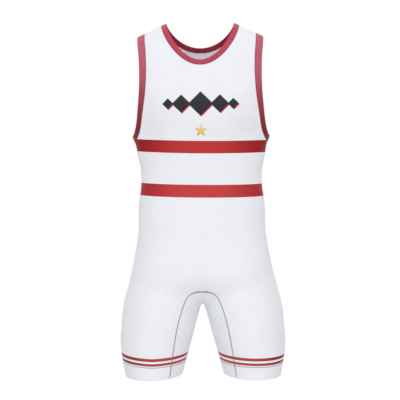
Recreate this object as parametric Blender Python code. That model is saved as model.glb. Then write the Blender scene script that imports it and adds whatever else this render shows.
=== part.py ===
"""A sleeveless wrestling singlet with short legs, hollow and filled out as it is when worn.

Metres, +Z up, the front faces -Y and the wearer's left is +X. The origin is at the shoulder tops.
A smooth body form gives the outside of the cloth. Every sewn piece is a wall on that form: the front
and back panels, the inner-leg panel, and the bindings round the neck and the armholes. Pieces that
meet at a seam share the same stations along it and lie a small gap apart.
"""

import math

import bpy
import numpy as np

# Cloth
CLOTH_WALL = 0.0012
HEM_WALL = 0.0024
HEM_DEPTH = 0.0313
HEM_STEP = 0.0020
BINDING_WALL = 0.0020
BINDING_PROUD = 0.0004
NECK_BINDING_WIDTH = 0.0123
ARMHOLE_BINDING_WIDTH = {"shoulder": 0.0183, "underarm": 0.0145}
NARROWING = {"start": -0.165, "fall": 0.0750}
SEAM_GAP = 0.0003

# Shoulders: the ridge falls from the neck to the arm, and rounds off over the crown height.
SHOULDER_SLOPE = 0.46
NECK_HALF_WIDTH = 0.0800
CROWN_HEIGHT = 0.0700

# Neck edge: drop below the shoulder tops, then the two powers of its curve.
NECK_FRONT = {"side": -1.0, "drop": 0.0920, "fall": 1.4, "narrowing": 0.540}
NECK_BACK = {"side": 1.0, "drop": 0.0510, "fall": 1.3, "narrowing": 0.500}

# Body: half width seen from the front, from the shoulders to the hems.
#   height, half width
BODY_WIDTH = (
    (0.040, 0.2000),
    (-0.050, 0.1900),
    (-0.120, 0.1820),
    (-0.200, 0.1720),
    (-0.267, 0.1630),
    (-0.285, 0.1560),
    (-0.312, 0.1512),
    (-0.350, 0.1440),
    (-0.385, 0.1443),
    (-0.425, 0.1500),
    (-0.490, 0.1520),
    (-0.550, 0.1610),
    (-0.610, 0.1745),
    (-0.665, 0.1892),
    (-0.720, 0.1959),
    (-0.768, 0.1983),
    (-0.805, 0.1935),
    (-0.842, 0.1875),
    (-0.880, 0.1830),
)

# Torso: depth of the front and of the back, measured from the plane of the side seams.
#   height, front depth, back depth
TORSO_DEPTH = (
    (0.040, 0.0480, 0.0540),
    (-0.030, 0.0620, 0.0660),
    (-0.100, 0.0880, 0.0900),
    (-0.160, 0.1050, 0.1030),
    (-0.220, 0.1060, 0.1070),
    (-0.280, 0.0960, 0.1020),
    (-0.360, 0.0890, 0.0880),
    (-0.430, 0.0900, 0.0930),
    (-0.500, 0.0940, 0.1050),
    (-0.560, 0.0990, 0.1130),
    (-0.620, 0.0990, 0.1130),
    (-0.700, 0.0940, 0.1040),
)

# Chest: places beside the middle of the front that swell or fall in.
#   half width, height, reach across, reach up, lift
CHEST_RELIEF = (
    (0.0950, -0.1800, 0.0500, 0.0420, 0.0050),
    (0.1280, -0.2640, 0.0420, 0.0340, -0.0130),
)

# Legs: inner edge seen from the front, and the depths at the middle of the leg.
#   height, inner edge, front depth, back depth
LEG_SECTIONS = (
    (-0.480, -0.0500, 0.0700, 0.0930),
    (-0.560, -0.0260, 0.0810, 0.1060),
    (-0.610, -0.0110, 0.0880, 0.1075),
    (-0.645, 0.0000, 0.0920, 0.1040),
    (-0.674, 0.0070, 0.0940, 0.0990),
    (-0.713, 0.0168, 0.0940, 0.0920),
    (-0.751, 0.0264, 0.0915, 0.0855),
    (-0.790, 0.0375, 0.0875, 0.0795),
    (-0.830, 0.0478, 0.0825, 0.0750),
    (-0.880, 0.0600, 0.0780, 0.0720),
)
ROUNDNESS = 2.3
SEAT_START = -0.575
SEAT_HEIGHT = 0.0690
LEG_TOP = -0.580
LEG_FADE = 0.1100
LEG_SPREAD = 0.0050
CROTCH_BLEND = 0.0450
TORSO_SCALE = 0.1200
LEG_SCALE = 0.0850

# Armhole edge seen from the front, from the shoulder to the underarm.
#   height, half width
ARMHOLE_EDGE = (
    (-0.0317, 0.1490),
    (-0.0540, 0.1468),
    (-0.0750, 0.1440),
    (-0.1000, 0.1423),
    (-0.1350, 0.1418),
    (-0.1600, 0.1425),
    (-0.1850, 0.1446),
    (-0.2100, 0.1472),
    (-0.2350, 0.1506),
    (-0.2520, 0.1548),
    (-0.2620, 0.1590),
    (-0.2670, 0.1630),
)

# Seam of the inner-leg panel seen from the front, from the middle of the arch to the hem.
#   half width, height
INNER_LEG_SEAM = (
    (0.0000, -0.6280),
    (0.0120, -0.6286),
    (0.0220, -0.6312),
    (0.0300, -0.6360),
    (0.0365, -0.6440),
    (0.0440, -0.6610),
    (0.0533, -0.6888),
    (0.0600, -0.7166),
    (0.0652, -0.7444),
    (0.0697, -0.7722),
    (0.0737, -0.8000),
    (0.0788, -0.8357),
)
HEM_HEIGHT = -0.8372
HEM_TILT = 0.0380
CROTCH_PIVOT = 0.0550
SWEEP_TURN = 0.35

# Mesh: rows run across the panels from their outer to their inner edge, shoulder seam first.
ARMHOLE_ROWS = 15
NECK_ROWS = 9
CENTRE_ROWS = 21
LEG_ROWS = 10
HEM_ROWS = 2
HALF_COLUMNS = 11
INNER_LEG_COLUMNS = 10
BINDING_COLUMNS = 3
LINE_SAMPLES = 400
UNDERARM_CROWDING = 1.35
SIDE_SPLIT = -0.5950
LEG_PART = {"start": -0.500, "fall": 0.160}

# How steeply rows fall into the middle, at the shoulder, the underarm, the crotch and the hem,
# and how far they dip beside the underarm, a few rows above it, at it and below it.
ROW_DIVE = (1.0, 2.2, 3.0, 1.0)
UNDERARM_DIP = 0.1500
DIP_ROWS = (-3, 0, 7)
SHARP_EDGE = math.radians(50)

WHITE_KNIT = ("white_knit", (0.86, 0.87, 0.90, 1.0), 0.62)
RED_BINDING = ("red_binding", (0.52, 0.035, 0.055, 1.0), 0.45)


def table_curve(rows, column):
    """A smooth curve through one column of a table, over the first column, which falls."""
    keys = np.array([row[0] for row in rows])[::-1]
    values = np.array([row[column] for row in rows])[::-1]
    slopes = np.gradient(values, keys)

    def curve(key):
        key = np.clip(key, keys[0], keys[-1])
        k = np.clip(np.searchsorted(keys, key, side="right") - 1, 0, len(keys) - 2)
        span = keys[k + 1] - keys[k]
        t = (key - keys[k]) / span
        rising = (1 + 2 * t) * (1 - t) ** 2 * values[k] + t * (1 - t) ** 2 * span * slopes[k]
        falling = t * t * (3 - 2 * t) * values[k + 1] + t * t * (t - 1) * span * slopes[k + 1]
        return rising + falling

    return curve


half_width = table_curve(BODY_WIDTH, 1)
torso_front = table_curve(TORSO_DEPTH, 1)
torso_back = table_curve(TORSO_DEPTH, 2)
leg_inner = table_curve(LEG_SECTIONS, 1)
leg_front = table_curve(LEG_SECTIONS, 2)
leg_back = table_curve(LEG_SECTIONS, 3)
armhole_edge = table_curve(ARMHOLE_EDGE, 1)


def ridge(x):
    """Height of the shoulder ridge over a place across the body."""
    return -SHOULDER_SLOPE * (np.abs(x) - NECK_HALF_WIDTH)


def leg_centre(z):
    """Middle of a leg, from side to side."""
    return 0.5 * (half_width(z) + leg_inner(z))


def chest_lift(x, z):
    """How far the front of the torso swells beyond its depth at a place."""
    places = np.array(CHEST_RELIEF).T
    beside, height, across, up, lift = (values[:, None] for values in places)
    gap = ((np.abs(x).ravel() - beside) / across) ** 2 + ((np.asarray(z).ravel() - height) / up) ** 2
    return np.sum(lift * np.exp(-gap), axis=0).reshape(np.shape(x))


def torso_field(x, y, z):
    """Negative inside the torso, which ends in the shoulder ridge above and the seat below."""
    width = half_width(z)
    depth = np.where(y < 0, torso_front(z) + chest_lift(x, z), torso_back(z))
    across = np.abs(x) / width
    seat = np.maximum(0.0, (SEAT_START - z) / SEAT_HEIGHT)
    around = (across**ROUNDNESS + (np.abs(y) / depth) ** ROUNDNESS + seat**ROUNDNESS) ** (1 / ROUNDNESS)
    rise = (ridge(x) - z) / CROWN_HEIGHT
    full_depth = depth * np.maximum(1e-6, 1 - across**ROUNDNESS) ** (1 / ROUNDNESS)
    crown = np.hypot(y / full_depth, 1 - rise)
    return TORSO_SCALE * (np.where(rise < 1, crown, around) - 1)


def leg_field(x, y, z):
    """Negative inside either leg."""
    centre = leg_centre(z)
    depth = np.where(y < 0, leg_front(z), leg_back(z))
    across = (np.hypot(x, LEG_SPREAD) - centre) / (half_width(z) - centre)
    top = np.maximum(0.0, (z - LEG_TOP) / LEG_FADE)
    return LEG_SCALE * (np.sqrt(across**2 + (y / depth) ** 2 + top**2) - 1)


def body_field(points):
    """Negative inside the body form, zero on the outside of the cloth."""
    x, y, z = np.moveaxis(np.asarray(points, dtype=float), -1, 0)
    torso = torso_field(x, y, z)
    leg = leg_field(x, y, z)
    blend = CROTCH_BLEND * np.maximum(1e-3, 1 - (x / half_width(z)) ** 2)
    share = np.clip(0.5 + 0.5 * (leg - torso) / blend, 0, 1)
    return leg * (1 - share) + torso * share - blend * share * (1 - share)


def field_slope(points, step=1e-5):
    """Gradient of the body field."""
    points = np.asarray(points, dtype=float)
    moves = step * np.eye(3)
    slopes = [(body_field(points + move) - body_field(points - move)) / (2 * step) for move in moves]
    return np.stack(slopes, axis=-1)


def normals(points):
    """Unit vectors that point out of the body form."""
    slope = field_slope(points)
    return slope / np.linalg.norm(slope, axis=-1, keepdims=True)


def settle(points, rounds=6):
    """Move points onto the body form along its slope."""
    points = np.array(points, dtype=float)
    for _ in range(rounds):
        slope = field_slope(points)
        lift = body_field(points) / np.sum(slope * slope, axis=-1)
        points = points - lift[..., None] * slope
    return points


def cast(starts, directions, reach=0.25, steps=160, halvings=40):
    """First place where rays from inside the body form leave it."""
    starts = np.asarray(starts, dtype=float)
    directions = np.asarray(directions, dtype=float)
    shape = np.broadcast_shapes(starts.shape, directions.shape)
    starts = np.broadcast_to(starts, shape)
    directions = np.broadcast_to(directions, shape)
    low = np.zeros(shape[:-1])
    high = np.full(shape[:-1], reach)
    done = np.zeros(shape[:-1], dtype=bool)
    for k in range(1, steps + 1):
        distance = reach * k / steps
        outside = body_field(starts + distance * directions) > 0
        found = outside & ~done
        low = np.where(found, reach * (k - 1) / steps, low)
        high = np.where(found, distance, high)
        done |= outside
    for _ in range(halvings):
        middle = 0.5 * (low + high)
        outside = body_field(starts + middle[..., None] * directions) > 0
        low = np.where(outside, low, middle)
        high = np.where(outside, middle, high)
    return starts + low[..., None] * directions


def on_face(x, z, side):
    """Points of the front (side -1) or the back (side +1) at places seen from the front."""
    x, z = np.broadcast_arrays(x, z)
    starts = np.stack([x, np.zeros_like(x), z], axis=-1)
    return cast(starts, np.array([0.0, side, 0.0]))


def eased(count):
    """Numbers from 0 to 1, closer together near both ends."""
    return 0.5 - 0.5 * np.cos(np.linspace(0, math.pi, count))


def smooth_step(t):
    """0 to 1 with flat ends."""
    t = np.clip(t, 0.0, 1.0)
    return t * t * (3 - 2 * t)


def arc_lengths(points):
    """Length along a line of points, up to each of them."""
    return np.concatenate([[0.0], np.cumsum(np.linalg.norm(np.diff(points, axis=0), axis=1))])


def at_lengths(points, lengths):
    """Points at given lengths along a line of points."""
    measured = arc_lengths(points)
    return np.stack([np.interp(lengths, measured, points[:, axis]) for axis in range(3)], axis=1)


def even_stations(points, count, crowding=1.0):
    """Stations along a line of points, closer together at its end where crowding is above 1."""
    lengths = arc_lengths(points)[-1] * (1 - (1 - np.linspace(0, 1, count + 1)) ** crowding)
    stations = settle(at_lengths(points, lengths))
    stations[0], stations[-1] = points[0], points[-1]
    return stations


def neck_stations(neck):
    """Neck edge from the shoulder to the middle, for the front or the back."""
    fall = eased(LINE_SAMPLES)
    z = -neck["drop"] * fall
    x = NECK_HALF_WIDTH * np.maximum(0.0, 1 - fall ** neck["fall"]) ** neck["narrowing"]
    points = on_face(x, z, neck["side"])
    points[0] = (NECK_HALF_WIDTH, 0.0, 0.0)
    return even_stations(points, NECK_ROWS)


def armhole_stations(side):
    """Armhole edge from the shoulder to the underarm, for the front or the back."""
    top, bottom = ARMHOLE_EDGE[0], ARMHOLE_EDGE[-1]
    z = top[0] + (bottom[0] - top[0]) * eased(LINE_SAMPLES)
    points = on_face(armhole_edge(z), z, side)
    points[0] = (top[1], 0.0, ridge(top[1]))
    points[-1] = (bottom[1], 0.0, bottom[0])
    return even_stations(points, ARMHOLE_ROWS, UNDERARM_CROWDING)


def hem_line(x):
    """Height of the hem's edge at a place across the body."""
    return HEM_HEIGHT - HEM_TILT * (np.abs(x) - leg_centre(HEM_HEIGHT))


def hem_lengths(total, rows):
    """Lengths of the stations along a leg: even rows, then the step into the turned-up hem."""
    start = total - HEM_DEPTH
    leg = np.linspace(0, start, rows + 1)
    hem = np.linspace(start + HEM_STEP, total, HEM_ROWS + 1)
    return np.concatenate([leg, hem])


def inner_leg_stations(side):
    """Seam of the inner-leg panel from the middle of the arch to the hem."""
    table = np.array(INNER_LEG_SEAM)
    chord = arc_lengths(np.column_stack([table, np.zeros(len(table))]))
    rows = [(-length, x, z) for length, (x, z) in zip(chord, table)]
    lengths = np.linspace(0, chord[-1], LINE_SAMPLES)
    x = np.maximum(0.0, table_curve(rows, 1)(-lengths))
    z = table_curve(rows, 2)(-lengths)
    points = on_face(x, z, side)
    stations = at_lengths(points, hem_lengths(arc_lengths(points)[-1], LEG_ROWS))
    stations[1:] = settle(stations[1:])
    return stations


def side_stations(top):
    """Side seam from the armhole binding to the hem."""
    foot_x = half_width(HEM_HEIGHT)
    foot = hem_line(foot_x)
    torso = np.linspace(top, SIDE_SPLIT, NECK_ROWS + CENTRE_ROWS - ARMHOLE_ROWS + 1)
    leg = SIDE_SPLIT - hem_lengths(SIDE_SPLIT - foot, LEG_ROWS)
    z = np.concatenate([torso[1:], leg[1:]])
    return np.column_stack([half_width(z), np.zeros(len(z)), z])


def mirrored(points):
    """The same points on the other side of the body."""
    return points * np.array([-1.0, 1.0, 1.0])


def side_steps(points, before, after):
    """Unit vectors in the body form, square to a line on it, to the left of its run."""
    run = np.concatenate([[before], points, [after]])
    along = run[2:] - run[:-2]
    across = np.cross(normals(points), along)
    return across / np.linalg.norm(across, axis=-1, keepdims=True)


def strip(edge, steps, width, columns):
    """Grid of points on the body form: a row for each station, columns across the width there."""
    reach = np.broadcast_to(width, len(edge))[:, None] * steps
    return np.stack([settle(edge + share * reach) for share in np.linspace(0, 1, columns + 1)], axis=1)


class Piece:
    """A wall of cloth: points on its outside, how thick it is there, and its faces."""

    def __init__(self, name, look, proud=0.0):
        self.name = name
        self.look = look
        self.proud = proud
        self.points = []
        self.walls = []
        self.faces = []

    def add_grid(self, points, walls, shared=None, flip=False):
        """Add a grid of points, joined to earlier points where shared gives their numbers."""
        rows, columns = points.shape[:2]
        numbers = -np.ones((rows, columns), dtype=int) if shared is None else shared.copy()
        for i in range(rows):
            for j in range(columns):
                if numbers[i, j] < 0:
                    numbers[i, j] = len(self.points)
                    self.points.append(points[i, j])
                    self.walls.append(walls[i])
        for i in range(rows - 1):
            for j in range(columns - 1):
                corners = [numbers[i, j], numbers[i + 1, j], numbers[i + 1, j + 1], numbers[i, j + 1]]
                if flip:
                    corners.reverse()
                self.add_quad(corners)
        return numbers

    def add_quad(self, corners):
        """Add two triangles, cut along the shorter diagonal."""
        a, b, c, d = corners
        spot = self.points
        if np.linalg.norm(spot[a] - spot[c]) < np.linalg.norm(spot[b] - spot[d]):
            self.faces += [(a, b, c), (a, c, d)]
        else:
            self.faces += [(a, b, d), (b, c, d)]

    def build(self):
        """Make the closed wall: outside, inside and the cut edges between them."""
        skin = np.array(self.points)
        out = normals(skin)
        outside = skin + self.proud * out
        inside = outside - np.array(self.walls)[:, None] * out
        count = len(skin)
        edges = {(face[k], face[(k + 1) % 3]) for face in self.faces for k in range(3)}
        rim = [edge for edge in edges if edge[::-1] not in edges]
        faces = list(self.faces)
        faces += [tuple(count + corner for corner in reversed(face)) for face in self.faces]
        for a, b in sorted(rim):
            faces += [(b, a, count + a), (b, count + a, count + b)]
        mesh = bpy.data.meshes.new(self.name)
        mesh.from_pydata(np.concatenate([outside, inside]).tolist(), [], faces)
        mesh.shade_smooth()
        mesh.set_sharp_from_angle(angle=SHARP_EDGE)
        mesh.materials.append(material(*self.look))
        thing = bpy.data.objects.new(self.name, mesh)
        bpy.context.scene.collection.objects.link(thing)
        return thing


def material(name, colour, roughness):
    """A Principled material, made once."""
    if name in bpy.data.materials:
        return bpy.data.materials[name]
    made = bpy.data.materials.new(name)
    made.use_nodes = True
    shader = made.node_tree.nodes["Principled BSDF"]
    shader.inputs["Base Color"].default_value = colour
    shader.inputs["Roughness"].default_value = roughness
    shader.inputs["Metallic"].default_value = 0.0
    return made


def neck_ring():
    """Stations of the neck edge all round, and the steps from the opening into the cloth."""
    front = neck_stations(NECK_FRONT)
    back = neck_stations(NECK_BACK)
    loop = np.concatenate([front, mirrored(front[-2::-1]), mirrored(back[1:]), back[-2:0:-1]])
    return loop, side_steps(loop, loop[-1], loop[0])


def armhole_ring():
    """The same for the armhole on the wearer's left."""
    front = armhole_stations(-1.0)
    back = armhole_stations(1.0)
    loop = np.concatenate([front, back[-2:0:-1]])
    return loop, -side_steps(loop, loop[-1], loop[0])


def armhole_widths(stations):
    """Width of the armhole binding at each station: it is stretched narrower round the underarm."""
    fall = smooth_step((NARROWING["start"] - stations[:, 2]) / NARROWING["fall"])
    shoulder, underarm = ARMHOLE_BINDING_WIDTH["shoulder"], ARMHOLE_BINDING_WIDTH["underarm"]
    return shoulder + (underarm - shoulder) * fall


def inner_leg_seam(side):
    """Seam of the inner-leg panel on the wearer's left, and the steps from it into the panel."""
    seam = inner_leg_stations(side)
    beyond = 2 * seam[-1] - seam[-2]
    return seam, side * side_steps(seam, mirrored(seam[1]), beyond)


def panel_edges(side):
    """Outer and inner edges of half of the front or back panel, a gap away from their seams."""
    half_gap = 0.5 * SEAM_GAP
    neck, neck_steps = neck_ring()
    armhole, armhole_steps = armhole_ring()
    if side > 0:
        neck, neck_steps = np.roll(neck[::-1], 1, axis=0), np.roll(neck_steps[::-1], 1, axis=0)
        armhole, armhole_steps = np.roll(armhole[::-1], 1, axis=0), np.roll(armhole_steps[::-1], 1, axis=0)
    neck_seam = settle(neck + (NECK_BINDING_WIDTH + half_gap) * neck_steps)
    armhole_width = (armhole_widths(armhole) + half_gap)[:, None]
    armhole_seam = settle(armhole + armhole_width * armhole_steps)
    neck_seam, armhole_seam = neck_seam[: NECK_ROWS + 1], armhole_seam[: ARMHOLE_ROWS + 1]
    leg_seam, leg_steps = inner_leg_seam(side)
    leg_seam = leg_seam - half_gap * leg_steps
    height = np.linspace(neck_seam[-1, 2], leg_seam[0, 2], CENTRE_ROWS + 1)[1:-1]
    centre = on_face(np.zeros(len(height)), height, side)
    outer = np.concatenate([armhole_seam, side_stations(armhole_seam[-1, 2])])
    inner = np.concatenate([neck_seam, centre, leg_seam])
    along_side = np.array([0.0, side * half_gap, 0.0])
    outer[0] += along_side
    inner[0] += along_side
    outer[ARMHOLE_ROWS:] += along_side
    return outer, inner


def panel_grid(side):
    """Half of the front or back panel, on the wearer's left: rows from the side to the middle."""
    outer, inner = panel_edges(side)
    share = np.linspace(0, 1, HALF_COLUMNS + 1)
    count = np.arange(len(outer))
    bends = [0, ARMHOLE_ROWS, NECK_ROWS + CENTRE_ROWS, len(outer) - 1]
    dive = np.interp(count, bends, ROW_DIVE)
    dip = UNDERARM_DIP * np.interp(count - ARMHOLE_ROWS, DIP_ROWS, (0, 1, 0))
    rows = []
    for k, (start, end) in enumerate(zip(outer, inner)):
        if k == 0:
            x = start[0] + (end[0] - start[0]) * share
            row = np.column_stack([x, np.full(len(x), start[1]), ridge(x)])
        else:
            z = start[2] + (end[2] - start[2]) * share ** dive[k]
            z -= dip[k] * share * (1 - share) ** 3
            centre = leg_centre(z) * smooth_step((LEG_PART["start"] - z) / LEG_PART["fall"])
            first = math.acos(min(1.0, (start[0] - centre[0]) / (half_width(z[0]) - centre[0])))
            last = math.acos((end[0] - centre[-1]) / (half_width(z[-1]) - centre[-1]))
            x = centre + (half_width(z) - centre) * np.cos(first + (last - first) * share)
            drop = ridge(x) - (ridge(start[0]) - start[2])
            drop -= ((ridge(end[0]) - end[2]) - (ridge(start[0]) - start[2])) * share
            fade = smooth_step(1 - k / ARMHOLE_ROWS)
            z = z + fade * (drop - z)
            row = on_face(x, z, side)
        row[0], row[-1] = start, end
        rows.append(row)
    return np.array(rows)


def row_walls(rows):
    """Wall of each row: doubled in the turned-up hem."""
    return [HEM_WALL if k >= rows - HEM_ROWS - 1 else CLOTH_WALL for k in range(rows)]


def build_panel(name, side):
    """Front or back panel: two mirrored halves that share the middle column of the torso."""
    grid = panel_grid(side)
    walls = row_walls(len(grid))
    piece = Piece(name, WHITE_KNIT)
    numbers = piece.add_grid(grid, walls, flip=side < 0)
    shared = -np.ones_like(numbers)
    middle = slice(NECK_ROWS, NECK_ROWS + CENTRE_ROWS + 1)
    shared[middle, -1] = numbers[middle, -1]
    piece.add_grid(mirrored(grid), walls, shared, flip=side > 0)
    return piece.build()


def inner_leg_rows():
    """Half of the inner-leg panel, on the wearer's left: rows across it from front to back."""
    front, front_steps = inner_leg_seam(-1.0)
    back, back_steps = inner_leg_seam(1.0)
    front = front + 0.5 * SEAM_GAP * front_steps
    back = back + 0.5 * SEAM_GAP * back_steps
    share = np.linspace(0, 1, INNER_LEG_COLUMNS + 1)
    length = arc_lengths(front)
    rows = []
    for k, (start, end) in enumerate(zip(front, back)):
        ease = smooth_step(length[k] / length[-1] / SWEEP_TURN)
        turn = ease * (0.5 * math.pi + math.atan(HEM_TILT))
        away = np.array([-math.sin(turn), 0.0, -math.cos(turn)])
        across = np.array([0.0, 1.0, 0.0])
        arm = CROTCH_PIVOT + ease * (leg_centre(start[2]) - start[0] - CROTCH_PIVOT)
        pivot = start - arm * away
        pivot[1] = 0.0
        first = math.atan2(start[1], arm)
        last = math.atan2(end[1], arm)
        sweep = first + (last - first) * share[:, None]
        row = cast(pivot, np.cos(sweep) * away + np.sin(sweep) * across)
        row[0], row[-1] = start, end
        rows.append(row)
    return np.array(rows)


def build_inner_leg_panel():
    """One strip from the wearer's left hem over the crotch to the right hem."""
    rows = inner_leg_rows()
    rows[0, :, 0] = 0.0
    walls = row_walls(len(rows))
    grid = np.concatenate([rows[::-1], mirrored(rows[1:])])
    piece = Piece("inner_leg_panel", WHITE_KNIT)
    piece.add_grid(grid, walls[::-1] + walls[1:])
    return piece.build()


def build_binding(name, loop, steps, width, flip):
    """Closed ring of folded binding between an opening and the seam round it."""
    grid = strip(loop, steps, width - 0.5 * SEAM_GAP, BINDING_COLUMNS)
    piece = Piece(name, RED_BINDING, proud=BINDING_PROUD)
    shared = -np.ones((len(grid) + 1, BINDING_COLUMNS + 1), dtype=int)
    shared[-1] = np.arange(BINDING_COLUMNS + 1)
    closed = np.concatenate([grid, grid[:1]])
    piece.add_grid(closed, [BINDING_WALL] * len(closed), shared, flip)
    return piece.build()


def clear_scene():
    """Remove the objects that the file opens with."""
    for thing in list(bpy.data.objects):
        bpy.data.objects.remove(thing, do_unlink=True)


clear_scene()
build_panel("front_panel", -1.0)
build_panel("back_panel", 1.0)
build_inner_leg_panel()
build_binding("neck_binding", *neck_ring(), NECK_BINDING_WIDTH, flip=False)
left_loop, left_steps = armhole_ring()
widths = armhole_widths(left_loop)
build_binding("armhole_binding_left", left_loop, left_steps, widths, flip=True)
right_loop, right_steps = mirrored(left_loop), mirrored(left_steps)
build_binding("armhole_binding_right", right_loop, right_steps, widths, flip=False)
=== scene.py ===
"""Dressed model of a wrestling singlet: a sleeveless white knit suit with short legs and red bindings.

Metres, +Z up, the front faces -Y and the wearer's left is +X. Every sewn piece takes the place of its
node in the frame and lies on the same body form.
"""

import math

import bpy
import numpy as np
from mathutils import Euler, Matrix


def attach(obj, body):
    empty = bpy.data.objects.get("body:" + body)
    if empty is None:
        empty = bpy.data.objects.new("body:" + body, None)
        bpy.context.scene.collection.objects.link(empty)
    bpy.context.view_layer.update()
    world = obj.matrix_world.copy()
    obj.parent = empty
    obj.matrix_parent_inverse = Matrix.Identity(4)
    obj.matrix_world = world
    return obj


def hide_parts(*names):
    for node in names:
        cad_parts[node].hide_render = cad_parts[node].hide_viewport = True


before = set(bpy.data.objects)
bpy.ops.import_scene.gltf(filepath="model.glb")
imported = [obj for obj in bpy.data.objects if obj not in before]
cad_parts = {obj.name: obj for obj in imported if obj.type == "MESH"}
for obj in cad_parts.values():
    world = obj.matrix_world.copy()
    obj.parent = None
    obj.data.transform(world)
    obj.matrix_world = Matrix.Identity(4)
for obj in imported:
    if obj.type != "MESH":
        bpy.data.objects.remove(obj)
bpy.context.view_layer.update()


# Front and back panels
# Each is one piece of white polyester and elastane knit, dyed through with two red bands and two red
# rings at each leg, cut smaller than the wearer and stretched smooth over the body. They are sewn edge
# to edge at the shoulders and sides, and the bottom of each leg is turned up 30 mm and stitched.
CLOTH_WALL = 0.0012
HEM_WALL = 0.0024
SEAM_GAP = 0.0003
SEAM_ROLL = 0.0014
SEAM_SINK = 0.00038
HEM_STITCH_HEIGHT = 0.0318
HEM_STITCH_SINK = 0.00030
#   distances above the hem's edge at which the leg has its last stations
HEM_STATIONS = (
    0.0363, 0.0343, 0.0331, 0.0318, 0.0306, 0.0291, 0.0235, 0.0175, 0.0118, 0.0060, 0.0026, 0.0010, 0.0,
)

SHOULDER_SLOPE = 0.46
NECK_HALF_WIDTH = 0.0800
CROWN_HEIGHT = 0.0700
NECK_FRONT = {"side": -1.0, "drop": 0.0920, "fall": 1.4, "narrowing": 0.540}
NECK_BACK = {"side": 1.0, "drop": 0.0510, "fall": 1.3, "narrowing": 0.500}
NECK_BINDING_WIDTH = 0.0123
ARMHOLE_BINDING = {"shoulder": 0.0183, "underarm": 0.0145, "start": -0.165, "fall": 0.0750}

#   height, half width of the body seen from the front
BODY_WIDTH = (
    (0.040, 0.2000), (-0.050, 0.1900), (-0.120, 0.1820), (-0.200, 0.1720), (-0.267, 0.1630),
    (-0.285, 0.1560), (-0.312, 0.1512), (-0.350, 0.1440), (-0.385, 0.1443), (-0.425, 0.1500),
    (-0.490, 0.1520), (-0.550, 0.1610), (-0.610, 0.1745), (-0.665, 0.1892), (-0.720, 0.1959),
    (-0.768, 0.1983), (-0.805, 0.1935), (-0.842, 0.1875), (-0.880, 0.1830),
)
#   height, front depth and back depth of the torso
TORSO_DEPTH = (
    (0.040, 0.0480, 0.0540), (-0.030, 0.0620, 0.0660), (-0.100, 0.0880, 0.0900),
    (-0.160, 0.1050, 0.1030), (-0.220, 0.1060, 0.1070), (-0.280, 0.0960, 0.1020),
    (-0.360, 0.0890, 0.0880), (-0.430, 0.0900, 0.0930), (-0.500, 0.0940, 0.1050),
    (-0.560, 0.0990, 0.1130), (-0.620, 0.0990, 0.1130), (-0.700, 0.0940, 0.1040),
)
#   half width, height, reach across, reach up and lift of the places where the chest swells or falls in
CHEST_RELIEF = ((0.0950, -0.1800, 0.0500, 0.0420, 0.0050), (0.1280, -0.2640, 0.0420, 0.0340, -0.0130))
#   height, inner edge, front depth and back depth of a leg
LEG_SECTIONS = (
    (-0.480, -0.0500, 0.0700, 0.0930), (-0.560, -0.0260, 0.0810, 0.1060),
    (-0.610, -0.0110, 0.0880, 0.1075), (-0.645, 0.0000, 0.0920, 0.1040),
    (-0.674, 0.0070, 0.0940, 0.0990), (-0.713, 0.0168, 0.0940, 0.0920),
    (-0.751, 0.0264, 0.0915, 0.0855), (-0.790, 0.0375, 0.0875, 0.0795),
    (-0.830, 0.0478, 0.0825, 0.0750), (-0.880, 0.0600, 0.0780, 0.0720),
)
#   height, half width of the armhole's edge
ARMHOLE_EDGE = (
    (-0.0317, 0.1490), (-0.0540, 0.1468), (-0.0750, 0.1440), (-0.1000, 0.1423),
    (-0.1350, 0.1418), (-0.1600, 0.1425), (-0.1850, 0.1446), (-0.2100, 0.1472),
    (-0.2350, 0.1506), (-0.2520, 0.1548), (-0.2620, 0.1590), (-0.2670, 0.1630),
)
#   half width, height of the seam of the inner-leg panel
INNER_LEG_SEAM = (
    (0.0000, -0.6280), (0.0120, -0.6286), (0.0220, -0.6312), (0.0300, -0.6360),
    (0.0365, -0.6440), (0.0440, -0.6610), (0.0533, -0.6888), (0.0600, -0.7166),
    (0.0652, -0.7444), (0.0697, -0.7722), (0.0737, -0.8000), (0.0788, -0.8357),
)
ROUNDNESS = 2.3
SEAT_START, SEAT_HEIGHT = -0.575, 0.0690
LEG_TOP, LEG_FADE, LEG_SPREAD = -0.580, 0.1100, 0.0050
CROTCH_BLEND = 0.0450
TORSO_SCALE, LEG_SCALE = 0.1200, 0.0850
HEM_HEIGHT, HEM_TILT = -0.8372, 0.0380
SIDE_SPLIT = -0.5950

#   rows run across a panel from its outer to its inner edge, the shoulder seam first
ARMHOLE_ROWS, NECK_ROWS, CENTRE_ROWS, LEG_ROWS = 60, 36, 84, 40
HALF_COLUMNS = 48
COLUMN_CROWDING = 0.72
SHOULDER_ROW = 0.0012
LINE_SAMPLES = 600
UNDERARM_CROWDING = 1.35
LEG_PART = {"start": -0.500, "fall": 0.160}
ROW_DIVE = (1.0, 2.2, 3.0, 1.0)
UNDERARM_DIP, DIP_ROWS = 0.1500, (-12, 0, 28)


def table_curve(rows, column):
    """A smooth curve through one column of a table, over the first column, which falls."""
    keys = np.array([row[0] for row in rows])[::-1]
    values = np.array([row[column] for row in rows])[::-1]
    slopes = np.gradient(values, keys)

    def curve(key):
        key = np.clip(key, keys[0], keys[-1])
        k = np.clip(np.searchsorted(keys, key, side="right") - 1, 0, len(keys) - 2)
        span = keys[k + 1] - keys[k]
        t = (key - keys[k]) / span
        rising = (1 + 2 * t) * (1 - t) ** 2 * values[k] + t * (1 - t) ** 2 * span * slopes[k]
        falling = t * t * (3 - 2 * t) * values[k + 1] + t * t * (t - 1) * span * slopes[k + 1]
        return rising + falling

    return curve


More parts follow.
